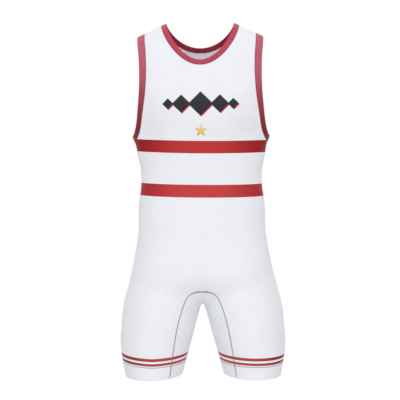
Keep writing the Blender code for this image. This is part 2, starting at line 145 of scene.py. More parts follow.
half_width = table_curve(BODY_WIDTH, 1)
torso_front = table_curve(TORSO_DEPTH, 1)
torso_back = table_curve(TORSO_DEPTH, 2)
leg_inner = table_curve(LEG_SECTIONS, 1)
leg_front = table_curve(LEG_SECTIONS, 2)
leg_back = table_curve(LEG_SECTIONS, 3)
armhole_edge = table_curve(ARMHOLE_EDGE, 1)


def ridge(x):
    """Height of the shoulder ridge over a place across the body."""
    return -SHOULDER_SLOPE * (np.abs(x) - NECK_HALF_WIDTH)


def leg_centre(z):
    """Middle of a leg, from side to side."""
    return 0.5 * (half_width(z) + leg_inner(z))


def chest_lift(x, z):
    """How far the front of the torso swells beyond its depth at a place."""
    places = np.array(CHEST_RELIEF).T
    beside, height, across, up, lift = (values[:, None] for values in places)
    gap = ((np.abs(x).ravel() - beside) / across) ** 2 + ((np.asarray(z).ravel() - height) / up) ** 2
    return np.sum(lift * np.exp(-gap), axis=0).reshape(np.shape(x))


def torso_field(x, y, z):
    """Negative inside the torso, which ends in the shoulder ridge above and the seat below."""
    depth = np.where(y < 0, torso_front(z) + chest_lift(x, z), torso_back(z))
    across = np.abs(x) / half_width(z)
    seat = np.maximum(0.0, (SEAT_START - z) / SEAT_HEIGHT)
    around = (across**ROUNDNESS + (np.abs(y) / depth) ** ROUNDNESS + seat**ROUNDNESS) ** (1 / ROUNDNESS)
    rise = (ridge(x) - z) / CROWN_HEIGHT
    full_depth = depth * np.maximum(1e-6, 1 - across**ROUNDNESS) ** (1 / ROUNDNESS)
    crown = np.hypot(y / full_depth, 1 - rise)
    return TORSO_SCALE * (np.where(rise < 1, crown, around) - 1)


def leg_field(x, y, z):
    """Negative inside either leg."""
    centre = leg_centre(z)
    depth = np.where(y < 0, leg_front(z), leg_back(z))
    across = (np.hypot(x, LEG_SPREAD) - centre) / (half_width(z) - centre)
    top = np.maximum(0.0, (z - LEG_TOP) / LEG_FADE)
    return LEG_SCALE * (np.sqrt(across**2 + (y / depth) ** 2 + top**2) - 1)


def body_field(points):
    """Negative inside the body form, zero on the outside of the cloth."""
    x, y, z = np.moveaxis(np.asarray(points, dtype=float), -1, 0)
    torso = torso_field(x, y, z)
    leg = leg_field(x, y, z)
    blend = CROTCH_BLEND * np.maximum(1e-3, 1 - (x / half_width(z)) ** 2)
    share = np.clip(0.5 + 0.5 * (leg - torso) / blend, 0, 1)
    return leg * (1 - share) + torso * share - blend * share * (1 - share)


def field_slope(points, step=1e-5):
    """Gradient of the body field."""
    points = np.asarray(points, dtype=float)
    moves = step * np.eye(3)
    slopes = [(body_field(points + move) - body_field(points - move)) / (2 * step) for move in moves]
    return np.stack(slopes, axis=-1)


def normals(points):
    """Unit vectors that point out of the body form."""
    slope = field_slope(points)
    return slope / np.linalg.norm(slope, axis=-1, keepdims=True)


def settle(points, rounds=6):
    """Move points onto the body form along its slope."""
    points = np.array(points, dtype=float)
    for _ in range(rounds):
        slope = field_slope(points)
        lift = body_field(points) / np.sum(slope * slope, axis=-1)
        points = points - lift[..., None] * slope
    return points


def cast(starts, directions, reach=0.25, steps=120, halvings=32):
    """First place where rays from inside the body form leave it."""
    starts = np.asarray(starts, dtype=float)
    directions = np.asarray(directions, dtype=float)
    shape = np.broadcast_shapes(starts.shape, directions.shape)
    starts = np.broadcast_to(starts, shape)
    directions = np.broadcast_to(directions, shape)
    low = np.zeros(shape[:-1])
    high = np.full(shape[:-1], reach)
    done = np.zeros(shape[:-1], dtype=bool)
    for k in range(1, steps + 1):
        distance = reach * k / steps
        outside = body_field(starts + distance * directions) > 0
        found = outside & ~done
        low = np.where(found, reach * (k - 1) / steps, low)
        high = np.where(found, distance, high)
        done |= outside
    for _ in range(halvings):
        middle = 0.5 * (low + high)
        outside = body_field(starts + middle[..., None] * directions) > 0
        low = np.where(outside, low, middle)
        high = np.where(outside, middle, high)
    return starts + low[..., None] * directions


def on_face(x, z, side):
    """Points of the front (side -1) or the back (side +1) at places seen from the front."""
    x, z = np.broadcast_arrays(x, z)
    starts = np.stack([x, np.zeros_like(x), z], axis=-1)
    return cast(starts, np.array([0.0, side, 0.0]))


def eased(count):
    """Numbers from 0 to 1, closer together near both ends."""
    return 0.5 - 0.5 * np.cos(np.linspace(0, math.pi, count))


def smooth_step(t):
    """0 to 1 with flat ends."""
    t = np.clip(t, 0.0, 1.0)
    return t * t * (3 - 2 * t)


def arc_lengths(points):
    """Length along a line of points, up to each of them."""
    return np.concatenate([[0.0], np.cumsum(np.linalg.norm(np.diff(points, axis=0), axis=1))])


def at_lengths(points, lengths):
    """Points at given lengths along a line of points."""
    measured = arc_lengths(points)
    return np.stack([np.interp(lengths, measured, points[:, axis]) for axis in range(3)], axis=1)


def even_stations(points, count, crowding=1.0):
    """Stations along a line of points, with one more close to its start, where the shoulder seam is."""
    lengths = arc_lengths(points)[-1] * (1 - (1 - np.linspace(0, 1, count + 1)) ** crowding)
    lengths = np.insert(lengths, 1, SHOULDER_ROW)
    stations = settle(at_lengths(points, lengths))
    stations[0], stations[-1] = points[0], points[-1]
    return stations


def neck_stations(neck):
    """Neck edge from the shoulder to the middle, for the front or the back."""
    fall = eased(LINE_SAMPLES)
    z = -neck["drop"] * fall
    x = NECK_HALF_WIDTH * np.maximum(0.0, 1 - fall ** neck["fall"]) ** neck["narrowing"]
    points = on_face(x, z, neck["side"])
    points[0] = (NECK_HALF_WIDTH, 0.0, 0.0)
    return even_stations(points, NECK_ROWS)


def armhole_stations(side):
    """Armhole edge from the shoulder to the underarm, for the front or the back."""
    top, bottom = ARMHOLE_EDGE[0], ARMHOLE_EDGE[-1]
    z = top[0] + (bottom[0] - top[0]) * eased(LINE_SAMPLES)
    points = on_face(armhole_edge(z), z, side)
    points[0] = (top[1], 0.0, ridge(top[1]))
    points[-1] = (bottom[1], 0.0, bottom[0])
    return even_stations(points, ARMHOLE_ROWS, UNDERARM_CROWDING)


def hem_line(x):
    """Height of the hem's edge at a place across the body."""
    return HEM_HEIGHT - HEM_TILT * (np.abs(x) - leg_centre(HEM_HEIGHT))


def hem_lengths(total):
    """Lengths of the stations along a leg: even rows, then the rows of the turned-up hem."""
    leg = np.linspace(0, total - HEM_STATIONS[0], LEG_ROWS + 1)
    return np.concatenate([leg, total - np.array(HEM_STATIONS[1:])])


def inner_leg_stations(side):
    """Seam of the inner-leg panel from the middle of the arch to the hem."""
    table = np.array(INNER_LEG_SEAM)
    chord = arc_lengths(np.column_stack([table, np.zeros(len(table))]))
    rows = [(-length, x, z) for length, (x, z) in zip(chord, table)]
    lengths = np.linspace(0, chord[-1], LINE_SAMPLES)
    x = np.maximum(0.0, table_curve(rows, 1)(-lengths))
    z = table_curve(rows, 2)(-lengths)
    points = on_face(x, z, side)
    stations = at_lengths(points, hem_lengths(arc_lengths(points)[-1]))
    stations[1:] = settle(stations[1:])
    return stations


def side_stations(top):
    """Side seam from the armhole binding to the hem."""
    foot = hem_line(half_width(HEM_HEIGHT))
    torso = np.linspace(top, SIDE_SPLIT, NECK_ROWS + CENTRE_ROWS - ARMHOLE_ROWS + 1)
    leg = SIDE_SPLIT - hem_lengths(SIDE_SPLIT - foot)
    z = np.concatenate([torso[1:], leg[1:]])
    return np.column_stack([half_width(z), np.zeros(len(z)), z])


def mirrored(points):
    """The same points on the other side of the body."""
    return points * np.array([-1.0, 1.0, 1.0])


def side_steps(points, before, after):
    """Unit vectors in the body form, square to a line on it, to the left of its run."""
    run = np.concatenate([[before], points, [after]])
    across = np.cross(normals(points), run[2:] - run[:-2])
    return across / np.linalg.norm(across, axis=-1, keepdims=True)


def neck_ring():
    """Stations of the neck edge all round, and the steps from the opening into the cloth."""
    front = neck_stations(NECK_FRONT)
    back = neck_stations(NECK_BACK)
    loop = np.concatenate([front, mirrored(front[-2::-1]), mirrored(back[1:]), back[-2:0:-1]])
    return loop, side_steps(loop, loop[-1], loop[0])


def armhole_ring():
    """The same for the armhole on the wearer's left."""
    front = armhole_stations(-1.0)
    back = armhole_stations(1.0)
    loop = np.concatenate([front, back[-2:0:-1]])
    return loop, -side_steps(loop, loop[-1], loop[0])


def armhole_widths(stations):
    """Width of the armhole binding at each station: it is stretched narrower round the underarm."""
    fall = smooth_step((ARMHOLE_BINDING["start"] - stations[:, 2]) / ARMHOLE_BINDING["fall"])
    return ARMHOLE_BINDING["shoulder"] + (ARMHOLE_BINDING["underarm"] - ARMHOLE_BINDING["shoulder"]) * fall


def inner_leg_seam(side):
    """Seam of the inner-leg panel on the wearer's left, and the steps from it into the panel."""
    seam = inner_leg_stations(side)
    beyond = 2 * seam[-1] - seam[-2]
    return seam, side * side_steps(seam, mirrored(seam[1]), beyond)


def panel_edges(side):
    """Outer and inner edges of half of the front or back panel, at its seams."""
    neck, neck_steps = neck_ring()
    armhole, armhole_steps = armhole_ring()
    if side > 0:
        neck, neck_steps = np.roll(neck[::-1], 1, axis=0), np.roll(neck_steps[::-1], 1, axis=0)
        armhole, armhole_steps = np.roll(armhole[::-1], 1, axis=0), np.roll(armhole_steps[::-1], 1, axis=0)
    neck_seam = settle(neck + NECK_BINDING_WIDTH * neck_steps)[: NECK_ROWS + 2]
    armhole_seam = settle(armhole + armhole_widths(armhole)[:, None] * armhole_steps)[: ARMHOLE_ROWS + 2]
    leg_seam, _ = inner_leg_seam(side)
    height = np.linspace(neck_seam[-1, 2], leg_seam[0, 2], CENTRE_ROWS + 1)[1:-1]
    centre = on_face(np.zeros(len(height)), height, side)
    outer = np.concatenate([armhole_seam, side_stations(armhole_seam[-1, 2])])
    inner = np.concatenate([neck_seam, centre, leg_seam])
    return outer, inner


def panel_grid(side):
    """Half of the front or back panel, on the wearer's left: rows from the side to the middle."""
    outer, inner = panel_edges(side)
    turn = np.linspace(0, 1, HALF_COLUMNS + 1)
    share = turn - COLUMN_CROWDING * np.sin(2 * math.pi * turn) / (2 * math.pi)
    count = np.arange(len(outer))
    bends = [0, ARMHOLE_ROWS + 1, NECK_ROWS + CENTRE_ROWS + 1, len(outer) - 1]
    dive = np.interp(count, bends, ROW_DIVE)[:, None]
    dip = UNDERARM_DIP * np.interp(count - ARMHOLE_ROWS - 1, DIP_ROWS, (0, 1, 0))[:, None]
    z = outer[:, 2:] + (inner[:, 2:] - outer[:, 2:]) * share**dive
    z = z - dip * share * (1 - share) ** 3
    centre = leg_centre(z) * smooth_step((LEG_PART["start"] - z) / LEG_PART["fall"])
    reach = (outer[:, 0] - centre[:, 0]) / (half_width(z[:, 0]) - centre[:, 0])
    first = np.arccos(np.minimum(1.0, reach))[:, None]
    last = np.arccos((inner[:, 0] - centre[:, -1]) / (half_width(z[:, -1]) - centre[:, -1]))[:, None]
    x = centre + (half_width(z) - centre) * np.cos(first + (last - first) * share)
    start_drop = (ridge(outer[:, 0]) - outer[:, 2])[:, None]
    end_drop = (ridge(inner[:, 0]) - inner[:, 2])[:, None]
    drop = ridge(x) - start_drop - (end_drop - start_drop) * share
    z = z + smooth_step(1 - count / (ARMHOLE_ROWS + 1))[:, None] * (drop - z)
    grid = on_face(x, z, side)
    grid[0] = 0.0
    grid[0, :, 0] = outer[0, 0] + (inner[0, 0] - outer[0, 0]) * share
    grid[0, :, 2] = ridge(grid[0, :, 0])
    grid[:, 0], grid[:, -1] = outer, inner
    return grid


#   soft creases: front or back, height, width, then the places seen from the front along each
CREASES = (
    (-1, -0.00034, 0.0100, ((0.1500, -0.2740), (0.1220, -0.2480), (0.0900, -0.2380))),
    (-1, 0.00026, 0.0085, ((0.1480, -0.2700), (0.1180, -0.2320), (0.0940, -0.2200))),
    (-1, -0.00030, 0.0100, ((-0.1500, -0.2750), (-0.1250, -0.2540), (-0.0960, -0.2470))),
    (-1, 0.00028, 0.0090, ((-0.1470, -0.2640), (-0.1150, -0.2300), (-0.0860, -0.2220))),
    (-1, -0.00030, 0.0095, ((0.1430, -0.3580), (0.1150, -0.3640), (0.0830, -0.3590))),
    (-1, 0.00026, 0.0090, ((0.1440, -0.4270), (0.1120, -0.4240), (0.0860, -0.4330))),
    (-1, -0.00028, 0.0100, ((-0.1430, -0.3460), (-0.1180, -0.3550), (-0.0900, -0.3530))),
    (-1, 0.00030, 0.0095, ((-0.1440, -0.3720), (-0.1100, -0.3740), (-0.0800, -0.3690))),
    (-1, 0.00040, 0.0110, ((0.0180, -0.6270), (0.0480, -0.6010), (0.0860, -0.5820))),
    (-1, -0.00034, 0.0100, ((0.0300, -0.6380), (0.0660, -0.6230), (0.1080, -0.6120))),
    (-1, 0.00038, 0.0110, ((-0.0160, -0.6270), (-0.0500, -0.6060), (-0.0940, -0.5900))),
    (-1, -0.00032, 0.0100, ((-0.0320, -0.6400), (-0.0700, -0.6300), (-0.1020, -0.6250))),
    (-1, -0.00036, 0.0110, ((0.0030, -0.6260), (0.0050, -0.6030), (0.0020, -0.5780))),
    (-1, 0.00026, 0.0100, ((0.0640, -0.7060), (0.0930, -0.6900), (0.1280, -0.6860))),
    (-1, 0.00026, 0.0100, ((-0.0660, -0.7180), (-0.0980, -0.7010), (-0.1240, -0.6990))),
    (1, -0.00060, 0.0130, ((0.0240, -0.6480), (0.0680, -0.6600), (0.1220, -0.6480))),
    (1, -0.00056, 0.0130, ((-0.0260, -0.6490), (-0.0700, -0.6590), (-0.1160, -0.6450))),
    (1, 0.00045, 0.0110, ((0.0300, -0.6620), (0.0700, -0.6760), (0.1080, -0.6720))),
    (1, 0.00042, 0.0110, ((-0.0340, -0.6660), (-0.0760, -0.6800), (-0.1020, -0.6780))),
    (1, 0.00044, 0.0100, ((0.0700, -0.3960), (0.0080, -0.3880), (-0.0620, -0.3980))),
    (1, -0.00040, 0.0095, ((0.0560, -0.4140), (-0.0060, -0.4090), (-0.0760, -0.4150))),
    (1, 0.00036, 0.0100, ((0.0840, -0.4320), (0.0200, -0.4300), (-0.0440, -0.4360))),
    (1, -0.00034, 0.0100, ((0.1480, -0.2760), (0.1160, -0.2440), (0.0800, -0.2300))),
    (1, -0.00032, 0.0100, ((-0.1480, -0.2770), (-0.1180, -0.2480), (-0.0860, -0.2360))),
    (1, 0.00030, 0.0100, ((0.1420, -0.1700), (0.1150, -0.1620), (0.0880, -0.1640))),
    (1, 0.00030, 0.0100, ((-0.1420, -0.1740), (-0.1160, -0.1680), (-0.0860, -0.1660))),
    (1, -0.00040, 0.0120, ((0.0020, -0.4700), (-0.0020, -0.5200), (0.0010, -0.5700))),
)


def crease_lift(points):
    """How far the creases lift the cloth off the body form."""
    lift = np.zeros(points.shape[:-1])
    for side, height, width, places in CREASES:
        line = np.array(places)
        seen = points[..., [0, 2]]
        near = np.full(lift.shape, 1e9)
        along = np.zeros(lift.shape)
        for k in range(len(line) - 1):
            run = line[k + 1] - line[k]
            t = np.clip(((seen - line[k]) @ run) / (run @ run), 0, 1)
            gap = np.linalg.norm(seen - line[k] - t[..., None] * run, axis=-1)
            closer = gap < near
            near = np.where(closer, gap, near)
            along = np.where(closer, (k + t) / (len(line) - 1), along)
        taper = np.sin(math.pi * (0.12 + 0.80 * along)) ** 1.5
        facing = smooth_step(side * points[..., 1] / 0.012)
        lift += height * taper * facing * np.exp(-((near / width) ** 2))
    return lift


class Cloth:
    """A wall of cloth: points on the body form, its wall, its distance from a seam, and its weave map."""

    def __init__(self, name):
        self.name = name
        self.points = np.zeros((0, 3))
        self.walls = np.zeros(0)
        self.seams = np.zeros(0)
        self.sinks = np.zeros(0)
        self.faces = np.zeros((0, 4), dtype=int)
        self.maps = np.zeros((0, 4, 2))

    def add_grid(self, points, walls, seams, sinks, maps, shared=None, flip=False):
        """Add a grid of points, joined to earlier points where shared gives their numbers."""
        numbers = np.full(points.shape[:2], -1) if shared is None else shared.copy()
        fresh = numbers < 0
        numbers[fresh] = len(self.points) + np.arange(fresh.sum())
        self.points = np.concatenate([self.points, points[fresh]])
        self.walls = np.concatenate([self.walls, walls[fresh]])
        self.seams = np.concatenate([self.seams, seams[fresh]])
        self.sinks = np.concatenate([self.sinks, sinks[fresh]])
        around = ((slice(None, -1), slice(None, -1)), (slice(1, None), slice(None, -1)))
        around += ((slice(1, None), slice(1, None)), (slice(None, -1), slice(1, None)))
        corners = np.stack([numbers[a] for a in around], axis=-1).reshape(-1, 4)
        places = np.stack([maps[a] for a in around], axis=-2).reshape(-1, 4, 2)
        step = -1 if flip else 1
        self.faces = np.concatenate([self.faces, corners[:, ::step]])
        self.maps = np.concatenate([self.maps, places[:, ::step]])
        return numbers

    def build(self):
        """Make the closed wall, rolled in along its seams, and link it to the scene."""
        out = normals(self.points)
        lift = crease_lift(self.points) - self.sinks
        roll = SEAM_SINK * (1 - smooth_step(self.seams / SEAM_ROLL))
        outside = self.points + (lift - roll)[:, None] * out
        inside = self.points + (lift - self.walls + 0.6 * roll)[:, None] * out
        count = len(self.points)
        edges = {}
        for face, places in zip(self.faces.tolist(), self.maps.tolist()):
            for k in range(4):
                edges[face[k], face[(k + 1) % 4]] = (places[k], places[(k + 1) % 4])
        rim = [(a, b) for a, b in edges if (b, a) not in edges]
        faces = self.faces.tolist()
        faces += (count + self.faces[:, ::-1]).tolist()
        faces += [(b, a, count + a, count + b) for a, b in rim]
        places = self.maps.reshape(-1, 2).tolist() + self.maps[:, ::-1].reshape(-1, 2).tolist()
        for edge in rim:
            first, second = edges[edge]
            places += [second, first, first, second]
        mesh = bpy.data.meshes.new(self.name)
        mesh.from_pydata(np.concatenate([outside, inside]).tolist(), [], faces)
        return finish_cloth(mesh, places, np.tile(self.seams, 2), np.repeat([0.0, 1.0], count))


def finish_cloth(mesh, places, seams, inner):
    """Give a mesh its weave map, its distance from a seam and its wrong side, and link it."""
    mesh.uv_layers.new(name="weave").data.foreach_set("uv", np.array(places, dtype=float).ravel())
    for name, values in (("seam_distance", seams), ("wrong_side", inner)):
        mesh.attributes.new(name, "FLOAT", "POINT").data.foreach_set("value", np.array(values, dtype=float))
    mesh.shade_smooth()
    mesh.set_sharp_from_angle(angle=math.radians(50))
    thing = bpy.data.objects.new(mesh.name, mesh)
    bpy.context.scene.collection.objects.link(thing)
    return thing


def lengths_across(grid):
    """Length along each row of a grid, up to each point."""
    steps = np.linalg.norm(np.diff(grid, axis=1), axis=2)
    return np.concatenate([np.zeros((len(grid), 1)), np.cumsum(steps, axis=1)], axis=1)


def leg_walls(rows):
    """Wall and stitch sink of each row: doubled from the hem's stitching down."""
    above = np.full(rows, 1.0)
    above[-len(HEM_STATIONS) :] = HEM_STATIONS
    walls = np.where(above < HEM_STITCH_HEIGHT - 0.0005, HEM_WALL, CLOTH_WALL)
    sinks = HEM_STITCH_SINK * np.exp(-(((above - HEM_STITCH_HEIGHT) / 0.0011) ** 2))
    return walls[:, None], sinks[:, None], above[:, None]


def build_panel(name, side):
    """Front or back panel: two mirrored halves that share the middle column of the torso."""
    grid = panel_grid(side)
    rows, columns = grid.shape[:2]
    walls, sinks, above = leg_walls(rows)
    length = lengths_across(grid)
    from_inner = length[:, -1:] - length
    middle = slice(NECK_ROWS + 1, NECK_ROWS + CENTRE_ROWS + 2)
    seams = np.minimum(length, np.where(np.arange(rows)[:, None] < middle.start, from_inner, 1.0))
    seams[middle.stop :] = np.minimum(seams[middle.stop :], from_inner[middle.stop :])
    to_shoulder = np.cumsum(np.linalg.norm(np.diff(grid, axis=0, prepend=grid[:1]), axis=2), axis=0)
    seams = np.minimum(np.minimum(seams, to_shoulder), 0.3 * above + 0.0004)
    flat_run = grid.copy()
    flat_run[..., 2] = 0.0
    girth = lengths_across(flat_run[:, ::-1])[:, ::-1] + np.abs(grid[:, -1:, 0])
    maps = np.stack([girth, grid[..., 2]], axis=-1)
    walls, sinks = np.broadcast_to(walls, length.shape), np.broadcast_to(sinks, length.shape)
    cloth = Cloth(name)
    numbers = cloth.add_grid(grid, walls, seams, sinks, maps, flip=side < 0)
    shared = np.full_like(numbers, -1)
    shared[middle, -1] = numbers[middle, -1]
    cloth.add_grid(mirrored(grid), walls, seams, sinks, maps * [-1, 1], shared, flip=side > 0)
    return cloth.build()


class Signal:
    """A shader socket that takes part in sums."""

    def __init__(self, finish, socket):
        self.finish = finish
        self.socket = socket

    def sum(self, operation, *values):
        inputs = dict(enumerate(values))
        return self.finish.node("Math", {"operation": operation}, inputs)

    def __add__(self, other):
        return self.sum("ADD", self, other)

    def __radd__(self, other):
        return self.sum("ADD", other, self)

    def __sub__(self, other):
        return self.sum("SUBTRACT", self, other)

    def __rsub__(self, other):
        return self.sum("SUBTRACT", other, self)

    def __mul__(self, other):
        return self.sum("MULTIPLY", self, other)

    def __rmul__(self, other):
        return self.sum("MULTIPLY", other, self)

    def __truediv__(self, other):
        return self.sum("DIVIDE", self, other)

    def __mod__(self, other):
        return self.sum("FLOORED_MODULO", self, other)

    def __pow__(self, other):
        return self.sum("POWER", self, other)

    def __neg__(self):
        return self.sum("MULTIPLY", self, -1.0)

    def __abs__(self):
        return self.sum("ABSOLUTE", self)

    def sin(self):
        return self.sum("SINE", self)

    def cos(self):
        return self.sum("COSINE", self)

    def most(self, other):
        return self.sum("MAXIMUM", self, other)

    def above(self, edge, soft):
        """0 below an edge and 1 above it, over a soft width."""
        settings = {"interpolation_type": "SMOOTHSTEP", "clamp": True}
        return self.finish.node("MapRange", settings, {0: self, 1: edge - 0.5 * soft, 2: edge + 0.5 * soft})

    def between(self, low, high, soft):
        """1 between two edges."""
        return self.above(low, soft) * (1 - self.above(high, soft))


class Finish:
    """A node material for one kind of cloth or thread."""

    def __init__(self, name):
        self.material = bpy.data.materials.new(name)
        self.material.use_nodes = True
        self.tree = self.material.node_tree
        self.shader = self.tree.nodes["Principled BSDF"]

    def node(self, kind, settings=None, inputs=None, output=0):
        """Add a node: its settings first, then its sockets' values or links."""
        made = self.tree.nodes.new("ShaderNode" + kind)
        for key, value in (settings or {}).items():
            setattr(made, key, value)
        for key, value in (inputs or {}).items():
            self.feed(made.inputs[key], value)
        return Signal(self, made.outputs[output])

    def feed(self, socket, value):
        if isinstance(value, Signal):
            self.tree.links.new(value.socket, socket)
        elif hasattr(value, "__len__") and len(value) == 3 and socket.type == "RGBA":
            socket.default_value = (*value, 1.0)
        else:
            socket.default_value = value

    def mix(self, share, first, second):
        """Colour from first to second as share goes from 0 to 1."""
        return self.node("Mix", {"data_type": "RGBA"}, {0: share, 6: first, 7: second}, 2)

    def parts(self, vector):
        """The three parts of a vector."""
        first = self.node("SeparateXYZ", None, {0: vector})
        return [Signal(self, socket) for socket in first.socket.node.outputs]

    def place(self):
        """Position on the garment, as three signals."""
        return self.parts(self.node("TexCoord", output="Object"))

    def weave(self):
        """Place across and along the weave, in metres."""
        return self.parts(self.node("UVMap", {"uv_map": "weave"}))[:2]

    def attribute(self, name):
        return self.node("Attribute", {"attribute_name": name}, output="Fac")

    def noise(self, scale, detail=3.0, roughness=0.5):
        spot = self.node("TexCoord", output="Object")
        values = {"Vector": spot, "Scale": scale, "Detail": detail, "Roughness": roughness}
        return self.node("TexNoise", None, values)

    def bump(self, height, distance, strength=1.0):
        values = {"Height": height, "Distance": distance, "Strength": strength}
        self.feed(self.shader.inputs["Normal"], self.node("Bump", None, values))

    def surface(self, **values):
        for name, value in values.items():
            self.feed(self.shader.inputs[name.replace("_", " ")], value)


KNIT_WHITE = (0.800, 0.812, 0.850)
KNIT_SHADE = (0.772, 0.786, 0.832)
# the cloth's inside: paler than its outside as painted light, and bluer as a painted shade tint
KNIT_WRONG_SIDE_PAINTED_LIGHT = (0.870, 0.890, 0.960)
PRINT_CHARCOAL = (0.0235, 0.0270, 0.0310)
# colour of the painted shade along the seams and along the hem's stitching
SEAM_PAINTED_SHADE = (0.240, 0.230, 0.250)
PRINT_RED = (0.720, 0.050, 0.080)
PRINT_GOLD = (0.700, 0.430, 0.120)
#   lower and upper edge of each band in the middle of the body, its rise towards the sides, and its red
#   in the middle and its deeper red at the sides, which is painted shade
BANDS = (
    (-0.3065, -0.2779, 0.1450, (0.470, 0.0320, 0.0340), (0.270, 0.0060, 0.0090)),
    (-0.4082, -0.3788, 0.0770, (0.510, 0.0480, 0.0500), (0.370, 0.0160, 0.0230)),
)
BAND_LEAN = 0.0150
# the bands and the leg rings turn a deeper red towards the sides: painted shade
BAND_SIDE_SHADE, RING_SIDE_SHADE = (0.098, 0.130), (0.155, 0.055)
RING_REDS_AND_SIDE_SHADE = ((0.400, 0.0520, 0.0600), (0.250, 0.0150, 0.0240))
#   on the wearer's right leg the rings and the hem's stitching climb outward beyond a half width
CLIMB_START, CLIMB_RISE = 0.1180, 0.073
# painted shade line along the hem's stitching
HEM_LINE_HALF = 0.0012
#   the painted shade along the inner-leg seam is wider and darker at the top of the crotch
CROTCH_LOW, CROTCH_HIGH, CROTCH_HALF = -0.6480, -0.5600, 0.0190
SEAM_HALF, SEAM_SOFT, SEAM_WIDER = 0.0014, 0.0026, 0.0024
SEAM_DEPTH, SEAM_DEEPER, HEM_LINE_DEPTH = 0.72, 0.22, 0.50
SEAM_END = (0.0065, 0.0020)
LEG_RINGS = ((0.0354, 0.0414), (0.0464, 0.0536))
DYE_EDGE = 0.0006
WALE, COURSE = 0.00085, 0.00065
#   chest print: distance from the middle, half width and half height of each lozenge
PRINT_HEIGHT = -0.1935
LOZENGES = ((0.0, 0.0285, 0.0280), (0.0440, 0.0215, 0.0210), (0.0745, 0.0130, 0.0127))
PRINT_SHADOW = 0.0017
STAR_HEIGHT, STAR_TIP, STAR_NOTCH = -0.2545, 0.0165, 0.0071


def knit_relief(finish, wale, course):
    """Columns and rows of loops, as a height from 0 to 1."""
    across, along = finish.weave()
    columns = (across * (2 * math.pi / wale)).cos()
    slant = (across * (math.pi / wale)).cos() * 0.35
    loops = (along * (2 * math.pi / course) + slant * 2 * math.pi).cos()
    return 0.5 + 0.3 * columns + 0.2 * loops


def white_knit_finish():
    """White knit with its dyed bands, its leg rings and the print on the chest."""
    finish = Finish("white_knit_cloth")
    x, y, z = finish.place()
    wide = abs(x)
    leg_height = z - HEM_HEIGHT + (wide - float(leg_centre(HEM_HEIGHT))) * HEM_TILT
    mottle = finish.noise(26.0, 4.0, 0.55)
    fleck = finish.noise(900.0, 2.0)
    wrong = finish.attribute("wrong_side")
    white = finish.mix(mottle.above(0.5, 0.5), KNIT_SHADE, KNIT_WHITE)
    # inside of the cloth: painted light and a painted shade tint
    white = finish.mix(wrong, white, KNIT_WRONG_SIDE_PAINTED_LIGHT)
    colour, dyed = white, 0.0
    for low, high, bow, middle_red, side_shaded_red in BANDS:
        band = (z - wide * wide * bow + x * BAND_LEAN).between(low, high, DYE_EDGE)
        # deeper red towards the sides: painted shade
        red = finish.mix(wide.above(*BAND_SIDE_SHADE) + (0.5 - fleck) * 0.4, middle_red, side_shaded_red)
        colour = finish.mix(band * (1 - 0.55 * wrong), colour, red)
        dyed = band + dyed
    ring_height = leg_height - (-x - CLIMB_START).most(0.0) * CLIMB_RISE
    for low, high in LEG_RINGS:
        ring = ring_height.between(low, high, DYE_EDGE)
        # deeper red on the outer side of the leg: painted shade
        red = finish.mix(wide.above(*RING_SIDE_SHADE) + (0.5 - fleck) * 0.4, *RING_REDS_AND_SIDE_SHADE)
        colour = finish.mix(ring * (1 - 0.55 * wrong), colour, red)
        dyed = ring + dyed

    def lozenges(across, up):
        shown = None
        for far, half_x, half_z in LOZENGES:
            reach = abs(abs(across) - far) / half_x + abs(up) / half_z
            shape = 1 - reach.above(1.0, 0.03)
            shown = shape if shown is None else shown.most(shape)
        return shown

    front = (1 - y.above(-0.030, 0.002)) * (1 - wrong)
    height = z - PRINT_HEIGHT
    shadow = lozenges(x - PRINT_SHADOW, height + PRINT_SHADOW) * front
    shape = lozenges(x, height) * front
    rise = z - STAR_HEIGHT
    turn = finish.node("Math", {"operation": "ARCTAN2"}, {0: x, 1: rise})
    fifth = 2 * math.pi / 5
    fold = abs((turn + 0.5 * fifth) % fifth - 0.5 * fifth)
    radius = (x * x + rise * rise) ** 0.5
    notch_x, notch_y = STAR_NOTCH * math.cos(fifth / 2), STAR_NOTCH * math.sin(fifth / 2)
    run = math.hypot(STAR_TIP - notch_x, notch_y)
    lean_x, lean_y = notch_y / run, (STAR_TIP - notch_x) / run
    outside = radius * (fold.cos() * lean_x + fold.sin() * lean_y) - STAR_TIP * lean_x
    star = (1 - outside.above(0.0, 0.0005)) * front
    print_shade = height.above(0.0, 0.055) * 0.6
    charcoal = finish.mix(print_shade, PRINT_CHARCOAL, [1.5 * c for c in PRINT_CHARCOAL])
    gold = finish.mix(rise.above(0.0, 0.024), PRINT_GOLD, [0.78, 0.60, 0.32])
    colour = finish.mix(shadow, colour, PRINT_RED)
    colour = finish.mix(shape, colour, charcoal)
    colour = finish.mix(star, colour, gold)
    inked = shape.most(star)
    # painted shade beside the seams' grey thread, wider and darker at the top of the crotch, and along the
    # hem's stitching
    crotch = z.between(CROTCH_LOW, CROTCH_HIGH, 0.020) * (1 - wide.above(CROTCH_HALF, 2 * CROTCH_HALF))
    seam = 1 - finish.attribute("seam_distance").above(SEAM_HALF + crotch * SEAM_WIDER, SEAM_SOFT)
    seam = seam * leg_height.above(*SEAM_END) * (SEAM_DEPTH + crotch * SEAM_DEEPER)
    hem = ring_height.between(HEM_STITCH_HEIGHT - HEM_LINE_HALF, HEM_STITCH_HEIGHT + HEM_LINE_HALF, DYE_EDGE)
    colour = finish.mix(seam.most(hem * HEM_LINE_DEPTH), colour, SEAM_PAINTED_SHADE)
    roughness = 0.58 + 0.10 * mottle - 0.10 * inked - 0.04 * dyed
    finish.surface(Base_Color=colour, Roughness=roughness, IOR=1.42, Specular_IOR_Level=0.15)
    finish.surface(Sheen_Weight=0.06, Sheen_Roughness=0.45)
    relief = knit_relief(finish, WALE, COURSE) * (1 - 0.6 * inked)
    finish.bump(relief + fleck * 0.35, 0.00006, 0.8)
    return finish.material


white_knit = white_knit_finish()


